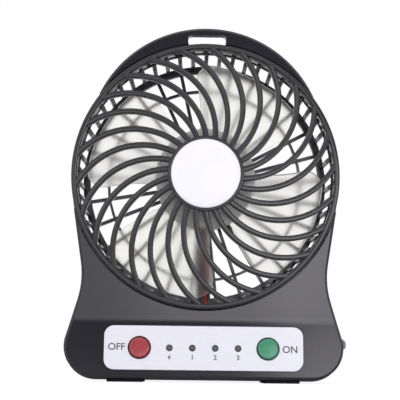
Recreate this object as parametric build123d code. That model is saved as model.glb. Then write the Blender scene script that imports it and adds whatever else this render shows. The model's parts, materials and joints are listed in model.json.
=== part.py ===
from build123d import *
import math
import os

# Portable rechargeable camping fan, in millimetres.
# X is to the fan's right as seen from the front, Y runs front to back (the front is -Y), Z is up.
# The origin is on the table, in the middle of the footprint. The air path runs along Y at fan_z.

# ---------------------------------------------------------------- driving dimensions
# outline, seen from the front
height = 143.0  # top of the crown
fan_z = 82.5  # height of the fan's axis
body_r = 54.0  # round body
crown_r = 47.6  # carrying crown over the round body
crown_blend = 40.0
waist_half = 48.05
waist_z = 39.6
waist_fillet = 34.0
base_half = 59.4  # sharp corner of the flared base, before rounding
base_corner = 12.5
front_bottom_z = 1.5
rear_bottom_z = 0.8
base_top_z = 31.0  # top of the rear housing's box, under the round guard
base_top_round = 4.0

# depth stations, front to back
face_y = -12.5
face_foot_y = -15.0  # the face leans forward below the crease
crease_z = 24.5
crease_round = 25.0
step_y = -9.5  # shoulder that the round grille sits on
crown_back_y = -8.7
split_y = -5.5  # parting plane of the two housings
base_back_y = 18.5
guard_y = 14.5  # inner face of the rear guard
guard_back_y = 16.5

# walls, gaps and rounds
wall = 2.0
plate_wall = 1.6
edge_bevel = 1.0
back_bevel = 1.8
gap = 0.2  # between pieces that drop together
slide_gap = 0.3  # between pieces that move apart
ring_gap = 1.1  # shadow gap round the grille
skin = 0.3  # what the grille's pocket takes beyond the round body

# air path
duct_r = 51.5
duct_wall = 2.4
lip_y = -13.7  # front of the grille's rim
hub_bezel_r = 15.2
hub_front_y = -18.0
hub_back_y = -14.6
badge_r = 13.85
badge_thick = 0.9
badge_dome = 0.6
rib_count = 26
rib_wide = 2.2
rib_deep = 3.2
rib_steps = 8  # flats along each swirl rib
rib_arc_r = 29.94  # radius of each swirl rib
rib_arc_x = 10.38  # its centre, from a rib root lying on the X axis
rib_phase = -6.8
lug_count = 4
lug_span = 9.0  # degrees
lug_deep = 1.0
lug_long = 0.8

# rear guard
spoke_count = 29
spoke_wide = 1.4
bars_per_spoke = 2
bar_wide = 1.85
bar_deep = 1.5
basket_r = 50.9
guard_rim_wide = 3.0
guard_rim_deep = 2.5
mid_ring_r = 40.2
mid_ring_wide = 1.1
guard_hub_r = 17.5
flange_thick = 1.6
flange_r = 52.6
trough_inside = 4.0
trough_wall = 0.9
trough_deep = 5.3

# impeller and motor
blade_count = 4
blade_span = 65.0  # degrees
blade_lean = 30.0  # degrees between the blade's middle line and its straight rulings
blade_camber_r = 90.0
blade_edge_s = -43.0  # where the blade is square to the axis, at the tip of its leading edge
blade_back_y = 10.3
blade_thick = 1.6
blade_tip_r = 48.4
blade_bow = 3.0
blade_corner = 7.0
blade_phase = 65.0
cup_clear = 1.5  # round the posts of the motor's clamp
cup_front_y = -7.5
cup_back_y = 9.0
cup_wall = 1.4
cup_bevel = 1.6
boss_r = 3.4
boss_back_y = -1.2
shaft_r = 1.0
running_gap = 0.03
motor_r = 12.2
motor_front_y = 2.0
motor_back_y = 14.3
can_wall = 0.8
end_cap_thick = 1.6
magnet_thick = 1.4
magnet_air = 0.4
magnet_end_gap = 0.6
pole_count = 3
pole_slot = 1.2
motor_sides = 24  # sealed motor parts are drawn with flats
bush_r = 2.4
bush_long = 2.2
clamp_thick = 1.5
clamp_hole_r = 4.0
clamp_high = 11.0
clamp_screw_out = 3.2  # screws beyond the motor's radius
clamp_post_r = 1.9
small_screw_r = 0.8
small_head_r = 1.6
small_head_high = 1.0
motor_screw_long = 6.0
board_screw_long = 4.0
socket_wall = 1.5
socket_front_y = 6.0  # the motor's socket in the guard reaches this far forward

# panel, buttons and lamps, in the panel's own plane
panel_z = 13.5
panel_wide = 78.4
panel_high = 17.4
panel_corner = 4.0
panel_thick = 0.9
panel_sink = 1.0
button_x = 25.3
button_r = 4.0
button_window_gap = 0.6
button_proud = 0.9
button_bevel = 0.3
button_travel = 0.5
button_flange_lip = 0.6  # of the square flange beyond the cap
button_flange_thick = 0.8
button_flange_depth = 2.1  # its front, just behind the wall
lamp_pitch = 9.0
lamp_r = 1.25
lamp_foot = 3.0
lamp_window = 2.2  # half height of the slot for the lamps in the wall under the plate
board_wide = 84.0
board_high = 16.0
board_thick = 1.6
board_depth = 7.0  # front of the board behind the face
board_side_gap = 5.0  # between its ears and the side of the base
board_ear_high = 7.6
board_ear_z = 16.2
board_screw_x = 36.0
board_post_r = 2.4
tact_side = 6.0
tact_high = 3.5
plunger_r = 1.7
plunger_long = 1.2

# side lamp, lamp switch and charging socket
side_lamp_r = 2.5
side_lamp_z = 15.5
side_lamp_proud = 1.45
switch_y = 5.0
switch_z = 14.0
switch_travel = 2.5
switch_deep = 3.6
switch_half_long = 4.3
switch_half_high = 2.2
knob_long = 2.4
knob_high = 2.4
knob_stem_high = 2.0
knob_stem_deep = 1.5
socket_z = 15.3
socket_wide = 7.5
socket_high = 2.6
socket_long = 5.6
socket_sink = 0.9
socket_skin = 0.35
tongue_inset = 1.4
tongue_thick = 0.5

# battery, its contacts and its door
cell_r = 9.15
cell_long = 65.0
cell_door_gap = 0.45
cell_floor_z = 5.0
nipple_r = 2.8
nipple_high = 0.9
contact_room = 4.3  # beyond each end of the cell
bay_wall = 1.2
contact_wide = 12.0
contact_thick = 0.5
contact_r = 2.4
leaf_wide = 5.0
leaf_long = 8.0
leaf_thick = 0.3
door_ledge = 0.6  # what the door rests on, all round the bay
door_thick = 1.9
door_corner = 2.0
door_bevel = 0.4
notch_wide = 14.0
notch_high = 4.4
notch_deep = 0.9
notch_drop = 4.2  # its middle below the door's top edge
grip_count = 3
grip_pitch = 1.6
grip_high = 0.8
grip_deep = 0.4
grip_drop = 9.2

# foot plate, its pin and the rubber feet
foot_half = 22.7
foot_low_z = 0.9
foot_thick = 2.0
foot_front_y = -4.5
foot_corner = 1.2
foot_knuckle_r = 1.3
finger_r = 4.0  # thumbnail notch in the foot plate's front edge
pin_y = 16.6
pin_r = 0.6
pin_half = 26.5
pad_x = 31.0
pad_wide = 14.6
pad_front_y = -10.0
pad_back_y = 16.0
pad_round = 1.5

# screws, and the two motor leads
case_screws_at = ((47.0, 8.0), (44.5, 25.6))
screw_r = 1.1
screw_head_r = 2.3
screw_head_high = 1.6
screw_seat_y = 0.5  # where the heads bear, deep in the rear housing
pilot_gap = 0.05
post_r = 2.9
post_sides = 8  # posts and screws are drawn with flats
lead_r = 0.6
lead_x = 0.9
lead_y = 12.6
lead_low_z = 27.3
lead_board_y = -5.1
lead_bend = 2.4

# lanyard slot through the crown
slot_half = 7.65
slot_high = 4.5
slot_drop = 3.0  # its top below the crown's top
slot_corner = 1.6

# ---------------------------------------------------------------- sizes that follow
far = 80.0  # reach of cutting tools beyond the object
pocket_r = body_r + skin
rim_outer_r = pocket_r - ring_gap
base_slope = math.atan2(face_y - face_foot_y, crease_z - front_bottom_z)
bars_back_y = guard_back_y - guard_rim_deep
cell_y = base_back_y - door_thick - cell_door_gap - cell_r
cell_z = cell_floor_z + cell_r
bay_half = cell_long / 2 + contact_room
bay_low_z = cell_floor_z - gap
bay_top_z = cell_z + cell_r + gap
door_half = bay_half + door_ledge - slide_gap
door_low_z = bay_low_z - door_ledge + slide_gap
door_high_z = bay_top_z + door_ledge - slide_gap
knuckle_z = foot_low_z + foot_thick / 2
lead_start_z = fan_z - motor_r - 0.05
clamp_screw_x = motor_r + clamp_screw_out
cup_r = clamp_screw_x + clamp_post_r + cup_clear + cup_wall
button_window_r = button_r + button_window_gap
button_flange_r = button_r + button_flange_lip


def face_depth(z):
    """Depth of the front face at height z."""
    return face_y - max(0.0, crease_z - z) * math.tan(base_slope)


def outline_half_width(z):
    """Half the width of the rear housing at height z, on the straight flare or the round foot."""
    flare = (base_half - waist_half) / (waist_z - front_bottom_z)
    lean = math.atan(flare)
    foot_x = waist_half + flare * (waist_z - rear_bottom_z)
    # centre of the rounded corner, tangent to the bottom and to the flare
    centre_z = rear_bottom_z + base_corner
    centre_x = foot_x - flare * base_corner - base_corner / math.cos(lean)
    if z >= centre_z + base_corner * math.sin(lean):
        return foot_x - flare * (z - rear_bottom_z)
    return centre_x + math.sqrt(base_corner**2 - (z - centre_z) ** 2)


board_ear_x = outline_half_width(board_ear_z) - board_side_gap
side_lamp_tip_x = outline_half_width(side_lamp_z) + side_lamp_proud
panel = Plane(
    origin=(0, face_depth(panel_z), panel_z),
    x_dir=(1, 0, 0),
    z_dir=(0, -math.cos(base_slope), math.sin(base_slope)),
)


# ---------------------------------------------------------------- drawing helpers
def slab(sketch, y0, y1):
    """A sketch drawn in X and Z, made solid from depth y0 back to y1."""
    return extrude(Plane.XZ.offset(-y1) * sketch, amount=y1 - y0)


def disc(r, y0, y1, x=0.0, z=fan_z):
    return slab(Pos(x, z) * Circle(r), y0, y1)


def tube(outer, inner, y0, y1, x=0.0, z=fan_z):
    return slab(Pos(x, z) * (Circle(outer) - Circle(inner)), y0, y1)


def prism(r, y0, y1, x=0.0, z=fan_z):
    """A many-sided post or screw along Y."""
    return slab(Pos(x, z) * RegularPolygon(r, post_sides), y0, y1)


def block(x0, x1, y0, y1, z0, z1):
    middle = Pos((x0 + x1) / 2, (y0 + y1) / 2, (z0 + z1) / 2)
    return middle * Box(x1 - x0, y1 - y0, z1 - z0)


def rod_x(r, x0, x1, y, z):
    """A round bar along X."""
    return Pos((x0 + x1) / 2, y, z) * Rot(0, 90, 0) * Cylinder(r, x1 - x0)


def on_panel(x, low, high, r):
    """A disc that stands on the panel's plane, from low to high along its outward normal."""
    return panel * (Pos(x, 0, (low + high) / 2) * Cylinder(r, high - low))


def panel_prism(x, low, high, r):
    """A many-sided post or screw that stands on the panel's plane."""
    return extrude(panel.offset(low) * Pos(x, 0) * RegularPolygon(r, post_sides), amount=high - low)


def on_panel_box(x, low, high, wide, tall):
    return panel * (Pos(x, 0, (low + high) / 2) * Box(wide, tall, high - low))


def turned(points):
    """A closed profile of (radius, depth) points, spun round the fan's axis."""
    profile = make_face(Polyline(*[(r, y, fan_z) for r, y in points], close=True))
    return revolve(profile, axis=Axis((0, 0, fan_z), (0, 1, 0)))


def both_sides(positions):
    return [(side * x, z) for x, z in positions for side in (-1, 1)]


def save(node, shape):
    export_step(shape, f"parts/{node}.step")


# ---------------------------------------------------------------- outline of the housings
def body_outline(bottom_z, with_crown):
    """The fan seen from the front: a round body, a waist and a flared base."""
    reach = math.hypot(waist_half, fan_z - waist_z)
    touch = math.acos(body_r / reach) - math.atan2(fan_z - waist_z, waist_half)
    touch_x = body_r * math.cos(touch)
    touch_z = fan_z + body_r * math.sin(touch)
    flare = (base_half - waist_half) / (waist_z - front_bottom_z)
    foot_x = waist_half + flare * (waist_z - bottom_z)
    right = [(touch_x, touch_z), (waist_half, waist_z), (foot_x, bottom_z)]
    left = [(-x, z) for x, z in reversed(right)]
    outline = Pos(0, fan_z) * Circle(body_r) + make_face(Polyline(*right, *left, close=True))
    outline = round_corners(outline, waist_half, waist_z, waist_fillet)
    outline = round_corners(outline, foot_x, bottom_z, base_corner)
    if with_crown:
        crown_z = height - crown_r
        outline = outline + Pos(0, crown_z) * Circle(crown_r)
        # The two circles cross where they are level with each other.
        cross_z = (body_r**2 - crown_r**2 + crown_z**2 - fan_z**2) / (2 * (crown_z - fan_z))
        cross_x = math.sqrt(body_r**2 - (cross_z - fan_z) ** 2)
        outline = round_corners(outline, cross_x, cross_z, crown_blend)
    return outline


def round_corners(sketch, x, z, radius):
    """Rounds the corner at (x, z) and its mirror image."""
    corners = [v for v in sketch.vertices() if math.hypot(abs(v.X) - x, v.Y - z) < 0.05]
    return fillet(corners, radius)


def below(z):
    """A half plane for trimming a sketch at height z."""
    return Pos(0, z - 2 * far) * Rectangle(4 * far, 4 * far)


def face_form(back):
    """All that lies behind the front face, moved back by a wall where the inside is wanted."""
    low_z = front_bottom_z - far
    low_y = face_depth(low_z) + back
    side = make_face(Polyline(
        (far, low_z), (far, height + far), (face_y + back, height + far), (face_y + back, crease_z),
        (low_y, low_z), close=True,
    ))
    crease = [v for v in side.vertices() if abs(v.Y - crease_z) < 0.05]
    side = fillet(crease, crease_round)
    return extrude(Plane.YZ * side, amount=far, both=True)


# ---------------------------------------------------------------- front housing
def make_front_shell():
    with_crown = body_outline(front_bottom_z, True)
    plain = body_outline(front_bottom_z, False)
    outer = slab(with_crown, -far, crown_back_y) & face_form(0.0)
    front_edges = outer.edges().filter_by(lambda e: max((e @ 0).Y, (e @ 1).Y) < face_y + 0.05)
    outer = chamfer(front_edges, edge_bevel)
    outer = outer + slab(plain, crown_back_y, split_y)

    inside = offset(plain, -wall) & below(fan_z)
    cavity = slab(inside, -far, split_y + wall) & face_form(wall)
    cavity = cavity - disc(duct_r + duct_wall, -far, far)
    shell = outer - cavity

    # posts for the case screws and the board's screws
    for x, z in both_sides(case_screws_at):
        shell = shell + prism(post_r, face_depth(z) + wall / 2, split_y, x, z)
    for side in (-1, 1):
        shell = shell + panel_prism(side * board_screw_x, -board_depth, -1.5 * panel_sink, board_post_r)
    for x, z in both_sides(case_screws_at):
        shell = shell - prism(screw_r + pilot_gap, face_depth(z) + 1.3 * wall, far, x, z)
    for side in (-1, 1):
        shell = shell - panel_prism(side * board_screw_x, -far, -1.2 * wall, small_screw_r + pilot_gap)

    # round opening: pocket for the grille, bore, counterbore for the guard's flange, lug notches
    shell = shell - disc(pocket_r, -far, step_y)
    shell = shell - disc(duct_r, -far, far)
    shell = shell - disc(flange_r + gap, split_y - flange_thick, far)
    notch_r = duct_r + lug_deep + gap
    notch_y = step_y + lug_long + gap
    for i in range(lug_count):
        shell = shell - lug(i, duct_r - lug_deep, notch_r, step_y - 1.0, notch_y, lug_span + 1.0)

    shell = shell - lanyard_slot()

    # panel recess, button holes and lamp holes
    recess = RectangleRounded(panel_wide + 2 * gap, panel_high + 2 * gap, panel_corner + gap)
    shell = shell - extrude(panel.offset(-panel_sink) * recess, amount=far)
    for side in (-1, 1):
        shell = shell - on_panel(side * button_x, -far, far, button_r + slide_gap)
    shell = shell - on_panel_box(0, -far, far, 3 * lamp_pitch + 2 * lamp_window, 2 * lamp_window)
    shell = shell - rod_x(side_lamp_r + gap / 2, board_ear_x, far, side_lamp_y(), side_lamp_z)
    return shell


def lanyard_slot():
    """What both housings leave open under the crown's top."""
    middle_z = height - slot_drop - slot_high / 2
    form = RectangleRounded(2 * slot_half, slot_high, slot_corner)
    return slab(Pos(0, middle_z) * form, -far, far)


def lug(i, inner, outer, y0, y1, span):
    """One locating lug's ring segment, or the notch that it drops into."""
    reach = 2 * outer
    aside = reach * math.tan(math.radians(span / 2))
    sector = make_face(Polyline((0, 0), (reach, -aside), (reach, aside), close=True))
    segment = (Circle(outer) - Circle(inner)) & (Rot(0, 0, 45 + i * 360 / lug_count) * sector)
    return slab(Pos(0, fan_z) * segment, y0, y1)


def lamp_places():
    """Charging lamp first, then the three speed lamps, left to right."""
    return [lamp_pitch * (i - 1.5) for i in range(4)]


def side_lamp_y():
    """The side lamp lies on the front of the board."""
    board_front = panel.origin.Y + board_depth * math.cos(base_slope)
    lean = (side_lamp_z - panel_z) * math.tan(base_slope)
    return board_front + lean - side_lamp_r - 0.4


# ---------------------------------------------------------------- front grille
def make_front_grille():
    """A domed swirl grille: a rim, a hub and curved ribs."""
    rim = turned([(duct_r, step_y), (rim_outer_r, step_y), (rim_outer_r, lip_y), (duct_r, lip_y)])
    hub = turned([
        (0, hub_front_y + badge_thick), (badge_r + gap / 2, hub_front_y + badge_thick),
        (badge_r + gap / 2, hub_front_y), (hub_bezel_r, hub_front_y), (hub_bezel_r, hub_back_y),
        (0, hub_back_y),
    ])
    first = make_rib()
    ribs = [
        Pos(0, 0, fan_z) * Rot(0, -(rib_phase + i * 360 / rib_count), 0) * first
        for i in range(rib_count)
    ]
    lugs = [
        lug(i, duct_r + 0.05, duct_r + lug_deep, step_y - 0.5, step_y + lug_long, lug_span)
        for i in range(lug_count)
    ]
    return rim + hub + ribs + lugs


def make_rib():
    """One swirl rib about the origin: a bar bent along an arc that leans with the dome."""
    centre = (rib_arc_x, math.sqrt(rib_arc_r**2 - (hub_bezel_r - rib_arc_x) ** 2))
    inner_r = hub_bezel_r - 0.8
    outer_r = duct_r + 0.6
    hub_y = hub_front_y + 0.5 + rib_deep / 2
    rim_y = lip_y + 0.2 + rib_deep / 2

    def place(r):
        """Where the rib's centre line is at radius r."""
        away = math.hypot(*centre)
        along = (r**2 - rib_arc_r**2 + away**2) / (2 * away)
        aside = math.sqrt(r**2 - along**2)
        unit = (centre[0] / away, centre[1] / away)
        x = along * unit[0] + aside * unit[1]
        z = along * unit[1] - aside * unit[0]
        share = (r - inner_r) / (outer_r - inner_r)
        return (x, hub_y + (rim_y - hub_y) * share, z)

    path = ThreePointArc(place(inner_r), place((inner_r + outer_r) / 2), place(outer_r))
    flat = Plane(origin=path.arc_center, x_dir=path @ 0 - path.arc_center, z_dir=path.normal())
    step = path.length / path.radius / rib_steps

    def side(r):
        return [(r * math.cos(i * step), r * math.sin(i * step)) for i in range(rib_steps + 1)]

    outline = side(path.radius + rib_wide / 2) + side(path.radius - rib_wide / 2)[::-1]
    return extrude(flat * make_face(Polyline(*outline, close=True)), amount=rib_deep / 2, both=True)


def make_hub_badge():
    """A bare, slightly domed cap that closes the grille's hub."""
    edge_y = hub_front_y + 0.1
    ball_r = (badge_r**2 + badge_dome**2) / (2 * badge_dome)
    ball = Pos(0, edge_y - badge_dome + ball_r, fan_z) * Sphere(ball_r)
    return disc(badge_r, edge_y - 2 * badge_dome, hub_front_y + badge_thick) & ball


# ---------------------------------------------------------------- rear guard
def bar_ring(r, count):
    """A near-circle with flats at radius r, the first of them at the top."""
    return Rot(0, 0, 90 + 180 / count) * RegularPolygon(r, count, major_radius=False)


def make_rear_guard():
    """An open basket in two parts: the spoked back with the motor's socket, and the bars all round."""
    bar_count = spoke_count * bars_per_spoke
    rim_inner_r = basket_r - guard_rim_wide
    bars_r = basket_r - gap

    def ring(outer_r, inner_r):
        """A ring with one flat to each bar."""
        return bar_ring(outer_r, bar_count) - bar_ring(inner_r, bar_count)

    spoke_long = basket_r - guard_rim_wide / 2
    spoke = Pos(spoke_long / 2, 0) * Rectangle(spoke_long, spoke_wide)
    back = Sketch() + [Rot(0, 0, 90 + i * 360 / spoke_count) * spoke for i in range(spoke_count)]
    back = back + ring(mid_ring_r + mid_ring_wide / 2, mid_ring_r - mid_ring_wide / 2)
    back = back + ring(basket_r, rim_inner_r) + bar_ring(guard_hub_r, bar_count)
    guard = slab(Pos(0, fan_z) * back, guard_y, guard_back_y)
    guard = guard + slab(Pos(0, fan_z) * ring(basket_r, rim_inner_r), bars_back_y, guard_y)

    # the bars stop short of the bottom, where the trough for the leads comes out
    bar = Pos(bars_r - bar_deep / 2, 0) * Rectangle(bar_deep, bar_wide)
    turns = [i * 360 / bar_count for i in range(bar_count)]
    bars = Sketch() + [Rot(0, 0, 90 + turn) * bar for turn in turns if abs(turn - 180) > 1.0]
    cage = slab(Pos(0, fan_z) * bars, split_y, bars_back_y)
    flange = ring(flange_r, bars_r - bar_deep - gap)
    cage = cage + slab(Pos(0, fan_z) * flange, split_y - flange_thick, split_y)

    # trough for the leads, from the motor's socket to the base, and posts for the motor's clamp
    inside = trough_inside / 2
    half = inside + trough_wall
    end_z = fan_z - basket_r + slide_gap
    root_y = (guard_y + guard_back_y) / 2
    guard = guard + block(-half, half, guard_back_y - trough_deep, guard_back_y, end_z, fan_z - motor_r)
    guard = guard + tube(motor_r + gap + socket_wall, motor_r + gap, socket_front_y, root_y)
    for side in (-1, 1):
        guard = guard + prism(clamp_post_r, motor_front_y, root_y, side * clamp_screw_x)
    floor_y = guard_back_y - trough_wall
    guard = guard - block(-inside, inside, motor_front_y, floor_y, end_z - wall, fan_z - motor_r + 1)
    guard = guard - disc(motor_r + gap, -far, guard_y)
    for side in (-1, 1):
        pilot_y = motor_front_y + motor_screw_long + 1.0
        guard = guard - prism(small_screw_r + pilot_gap, -far, pilot_y, side * clamp_screw_x)
    return guard, cage


# ---------------------------------------------------------------- rear housing
def make_rear_shell():
    outline = body_outline(rear_bottom_z, False)
    plate = slab(outline, split_y, split_y + plate_wall) - disc(basket_r + slide_gap, -far, far)
    form = outline & below(base_top_z)
    form = fillet([v for v in form.vertices() if abs(v.Y - base_top_z) < 0.01], base_top_round)
    box = slab(form, split_y, base_back_y)
    back_edges = box.edges().filter_by(lambda e: e.center().Y > base_back_y - 0.01)
    box = chamfer(back_edges, back_bevel)
    cavity = slab(offset(form, -wall), -far, base_back_y - wall)
    shell = plate + box - cavity

    # battery bay, open to the back
    bay_front = cell_y - cell_r - gap
    end = bay_half + bay_wall
    back = base_back_y - wall / 2
    bay = block(-end, end, bay_front - bay_wall, back, rear_bottom_z + wall / 2, bay_top_z + bay_wall)
    bay = bay - block(-bay_half, bay_half, bay_front, far, bay_low_z, bay_top_z)
    shell = shell + bay
    door_hole = Pos(0, (door_low_z + door_high_z) / 2) * RectangleRounded(
        2 * (door_half + slide_gap), door_high_z - door_low_z + 2 * slide_gap, door_corner + slide_gap
    )
    shell = shell - slab(door_hole, base_back_y - door_thick - gap / 2, far)

    # screw posts with deep head holes
    for x, z in both_sides(case_screws_at):
        shell = shell + prism(post_r, split_y, base_back_y - wall / 2, x, z)
    for x, z in both_sides(case_screws_at):
        shell = shell - prism(screw_r + pilot_gap, -far, far, x, z)
        shell = shell - disc(screw_head_r + gap, screw_seat_y, far, x, z)

    # underside: recess for the foot plate, its pin hole, shallow pockets for the rubber feet
    recess_half = foot_half + slide_gap
    ceiling = knuckle_z + foot_knuckle_r + gap
    shell = shell - block(-recess_half, recess_half, foot_front_y - slide_gap, far, -far, ceiling)
    shell = shell - rod_x(pin_r, -pin_half, pin_half, pin_y, knuckle_z)
    for side in (-1, 1):
        shell = shell - pad_form(side, gap / 2)

    # charging socket on the left, lamp switch on the right, and the way in for the leads
    mouth = block(
        -far, -board_ear_x - 1.0, socket_y() - socket_high / 2 - gap, socket_y() + socket_high / 2 + gap,
        socket_z - socket_wide / 2 - gap, socket_z + socket_wide / 2 + gap,
    )
    shell = shell - mouth
    reach = knob_long / 2 + slide_gap
    window = block(
        board_ear_x, far, switch_y - reach, switch_y + switch_travel + reach,
        switch_z - knob_high / 2 - slide_gap, switch_z + knob_high / 2 + slide_gap,
    )
    shell = shell - window
    way_in = Pos(0, lead_y, base_top_z) * Cylinder(trough_inside / 2, 3 * wall)
    return shell - way_in - lanyard_slot()


def socket_y():
    """The charging socket lies behind the leaning board, clear of it at the socket's top."""
    board_back = panel.origin.Y + (board_depth + board_thick) / math.cos(base_slope)
    lean = (socket_z + socket_wide / 2 - panel_z) * math.tan(base_slope)
    return board_back + lean + socket_high / 2 + gap / 2


def pad_form(side, grow):
    pad = RectangleRounded(pad_wide + 2 * grow, pad_back_y - pad_front_y + 2 * grow, pad_round + grow)
    middle_y = (pad_front_y + pad_back_y) / 2
    return extrude(Plane((side * pad_x, middle_y, 0)) * pad, amount=front_bottom_z)


# ---------------------------------------------------------------- impeller
def make_impeller():
    """Four wide cambered blades on a cup that covers the motor."""
    inner_r = cup_r - cup_wall
    floor_y = cup_front_y + cup_wall
    cup = turned([
        (shaft_r, cup_front_y), (cup_r, cup_front_y), (cup_r, cup_back_y), (inner_r, cup_back_y),
        (inner_r, floor_y), (boss_r, floor_y), (boss_r, boss_back_y), (shaft_r, boss_back_y),
    ])
    nose = cup.edges().filter_by(
        lambda e: e.center().Y < cup_front_y + 0.01 and e.length > 2 * math.pi * (cup_r - 0.1)
    )
    cup = chamfer(nose, cup_bevel)
    blade = make_blade()
    blades = [
        Pos(0, 0, fan_z) * Rot(0, -(blade_phase + i * 360 / blade_count), 0) * blade
        for i in range(blade_count)
    ]
    return cup + blades


def make_blade():
    """One blade about the origin, centred on the X axis: a leaning trough cut to the planform."""
    lean = math.radians(blade_lean)
    # In this plane X runs across the rulings and Y runs to the front of the fan.
    across = Plane(
        origin=(0, 0, 0), x_dir=(-math.sin(lean), 0, math.cos(lean)),
        z_dir=(math.cos(lean), 0, math.sin(lean)),
    )
    middle = (blade_edge_s, blade_camber_r - blade_back_y)
    band = Circle(blade_camber_r) - Circle(blade_camber_r - blade_thick)
    band = band & Pos(0, -blade_camber_r / 2) * Rectangle(2 * blade_camber_r, blade_camber_r)
    body = extrude(across * (Pos(*middle) * band), amount=far, both=True)
    return body & extrude(Plane.XZ.offset(-far) * blade_planform(), amount=2 * far)


def blade_planform():
    """The blade seen from the front, with bowed edges and a round tip."""
    half = blade_span / 2

    def at(r, degrees):
        return (r * math.cos(math.radians(degrees)), r * math.sin(math.radians(degrees)))

    root_r = cup_r - 0.6
    middle_r = (root_r + blade_tip_r) / 2
    low = ThreePointArc(at(root_r, -half), at(middle_r, -half - blade_bow), at(blade_tip_r, -half))
    tip = ThreePointArc(at(blade_tip_r, -half), at(blade_tip_r, 0), at(blade_tip_r, half))
    high = ThreePointArc(at(blade_tip_r, half), at(middle_r, half - blade_bow), at(root_r, half))
    root = ThreePointArc(at(root_r, half), at(root_r, 0), at(root_r, -half))
    form = make_face([low, tip, high, root])
    corner = at(blade_tip_r, half)
    tips = [v for v in form.vertices() if math.hypot(v.X - corner[0], abs(v.Y) - corner[1]) < 0.05]
    return fillet(tips, blade_corner)


# ---------------------------------------------------------------- motor
def faceted(r, y0, y1):
    """A sealed part of the motor, drawn with flats inside its true radius."""
    return slab(Pos(0, fan_z) * RegularPolygon(r, motor_sides), y0, y1)


def make_motor():
    """A flat brushed motor: steel can, magnet ring, three-pole armature, bushes and a plastic end."""
    cap_y = motor_back_y - end_cap_thick
    inside_y = motor_front_y + can_wall
    hole = bush_r + gap / 4
    can = disc(motor_r, motor_front_y, cap_y) - faceted(motor_r - can_wall, inside_y, far)
    can = can - faceted(hole, -far, inside_y)
    cap = faceted(motor_r, cap_y, motor_back_y) - faceted(hole, -far, far)
    magnet_r = motor_r - can_wall - gap / 4
    magnet_back = cap_y - magnet_end_gap
    magnet = faceted(magnet_r, inside_y + magnet_end_gap, magnet_back)
    magnet = magnet - faceted(magnet_r - magnet_thick, -far, far)
    arm_r = magnet_r - magnet_thick - magnet_air
    poles = RegularPolygon(arm_r, motor_sides)
    for i in range(pole_count):
        cut = Pos(0.75 * arm_r, 0) * Rectangle(arm_r / 2, pole_slot)
        poles = poles - Rot(0, 0, 30 + i * 360 / pole_count) * cut
    armature = slab(Pos(0, fan_z) * poles, inside_y + 2 * magnet_end_gap, cap_y - 2 * magnet_end_gap)
    armature = armature - disc(shaft_r, -far, far)
    bore = disc(shaft_r + running_gap, -far, far)
    front_bush = faceted(bush_r, inside_y - bush_long, inside_y) - bore
    rear_bush = faceted(bush_r, motor_back_y - bush_long, motor_back_y) - bore
    shaft = disc(shaft_r, cup_front_y + 0.4, motor_back_y - 0.8)
    return {
        "motor_can": can, "motor_end_cap": cap, "motor_magnet": magnet, "motor_armature": armature,
        "front_bush": front_bush, "rear_bush": rear_bush, "motor_shaft": shaft,
    }


def make_motor_clamp():
    """A plate that holds the motor in its socket, with two screws."""
    ears = Rectangle(2 * (clamp_screw_x + clamp_post_r), clamp_high) - Circle(clamp_hole_r)
    for side in (-1, 1):
        hole = RegularPolygon(small_screw_r + pilot_gap, post_sides)
        ears = ears - Pos(side * clamp_screw_x, 0) * hole
    head_y = motor_front_y - clamp_thick
    plate = slab(Pos(0, fan_z) * ears, head_y, motor_front_y)
    screws = Part()
    for side in (-1, 1):
        x = side * clamp_screw_x
        screws = screws + prism(small_screw_r, head_y, motor_front_y + motor_screw_long, x)
        screws = screws + prism(small_head_r, head_y - small_head_high, head_y, x)
    return plate, screws


def make_lead(side):
    """One motor lead: down the trough, forward over the battery bay and down to the board."""
    board_top = panel_z + board_high / 2 * math.cos(base_slope) + 0.05
    x = side * lead_x
    points = [
        (x, lead_y, lead_start_z), (x, lead_y, lead_low_z + lead_bend), (x, lead_y - lead_bend, lead_low_z),
        (x, lead_board_y + lead_bend / 2, lead_low_z), (x, lead_board_y, lead_low_z - lead_bend / 2),
        (x, lead_board_y, board_top),
    ]
    path = Polyline(*points)
    start = Plane(origin=points[0], z_dir=(0, 0, -1))
    return sweep(start * RegularPolygon(lead_r, post_sides), path=path, transition=Transition.RIGHT)


# ---------------------------------------------------------------- control panel
def make_panel_plate():
    form = RectangleRounded(panel_wide, panel_high, panel_corner)
    plate = extrude(panel.offset(-panel_sink) * form, amount=panel_thick)
    for side in (-1, 1):
        plate = plate - on_panel(side * button_x, -far, far, button_window_r)
    for x in lamp_places():
        plate = plate - on_panel(x, -far, far, lamp_r + gap / 2)
    return plate


def make_button(side):
    """A round cap with a square flange behind the face, and the switch's plunger under it."""
    x = side * button_x
    flange_low = -button_flange_depth - button_flange_thick
    stem = Pos(0, 0, (flange_low + button_proud) / 2) * Cylinder(button_r, button_proud - flange_low)
    stem = chamfer(stem.edges().sort_by(Axis.Z)[-1], button_bevel)
    middle = flange_low + button_flange_thick / 2
    skirt = Pos(0, 0, middle) * Box(2 * button_flange_r, 2 * button_flange_r, button_flange_thick)
    cap = panel * (Pos(x, 0, 0) * (stem + skirt))
    plunger = panel_prism(x, flange_low - plunger_long, flange_low, plunger_r)
    return cap, plunger


def make_tact_switch(side):
    """The fixed body of a button's switch, with a well for its plunger."""
    x = side * button_x
    body = on_panel_box(x, -board_depth, -board_depth + tact_high, tact_side, tact_side)
    plunger_end = -button_flange_depth - button_flange_thick - plunger_long
    return body - panel_prism(x, plunger_end - button_travel - gap, far, plunger_r + gap / 2)


def make_panel_lamp(x):
    """A light pipe from the board to the panel's face, with a square foot."""
    pipe = Pos(0, 0, -board_depth / 2) * Cylinder(lamp_r, board_depth)
    foot = Pos(0, 0, -board_depth + lamp_r / 2) * Box(lamp_foot, lamp_foot, lamp_r)
    return panel * (Pos(x, 0, 0) * (pipe + foot))


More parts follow.
